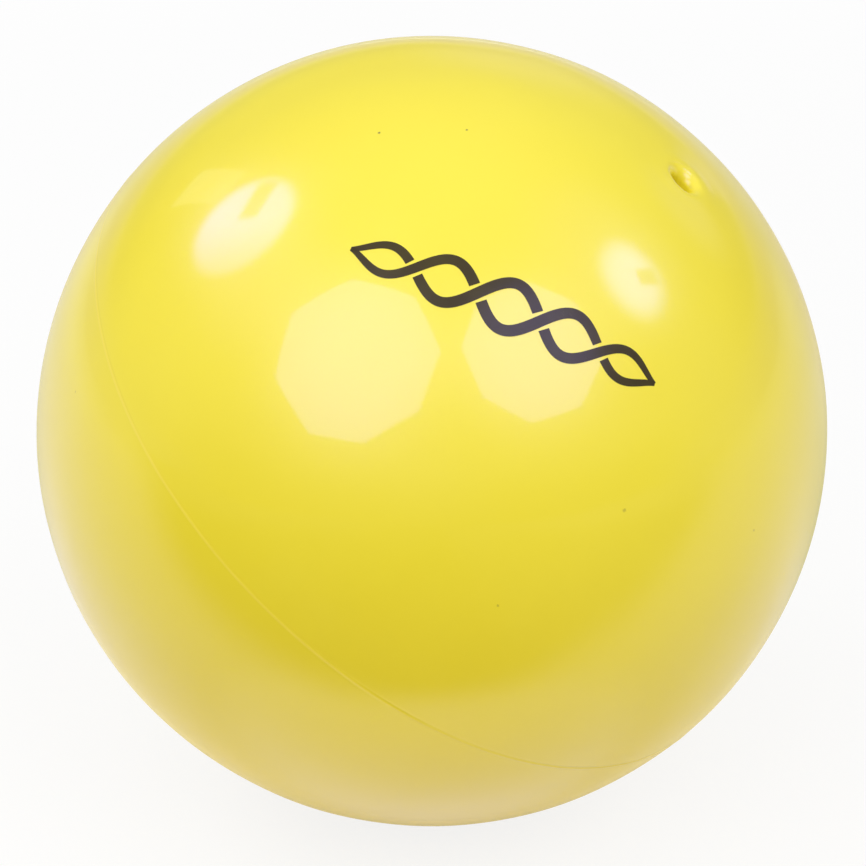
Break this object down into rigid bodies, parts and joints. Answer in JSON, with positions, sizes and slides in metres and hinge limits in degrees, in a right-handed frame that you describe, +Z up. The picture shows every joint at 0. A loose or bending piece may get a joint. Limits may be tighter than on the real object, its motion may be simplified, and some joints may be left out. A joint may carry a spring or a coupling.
{
  "type": "rhythmic gymnastics ball",
  "caption": "Glossy yellow vinyl ball for rhythmic gymnastics: a hollow moulded shell with a fine mould line and a recessed plug valve.",
  "frame": {"origin": "the ball's centre", "axes": "+Z up as the ball lies in the picture; the valve's axis leans 40 degrees from +Z towards +X, and the mould line's plane holds the Y axis"},
  "size_m": [0.19, 0.1902, 0.19],
  "materials": {
    "vinyl": "gloss",
    "bush": "satin",
    "plug": "satin"
  },
  "bodies": {
    "ball": {"ball_shell": "vinyl", "valve_bush": "bush"},
    "plug": {"valve_plug": "plug"}
  },
  "joints": [
    {"name": "plug_pull", "type": "slide", "parent": "ball", "child": "plug", "axis": [0.6428, 0, 0.766], "range_m": [0, 0.026]}
  ]
}
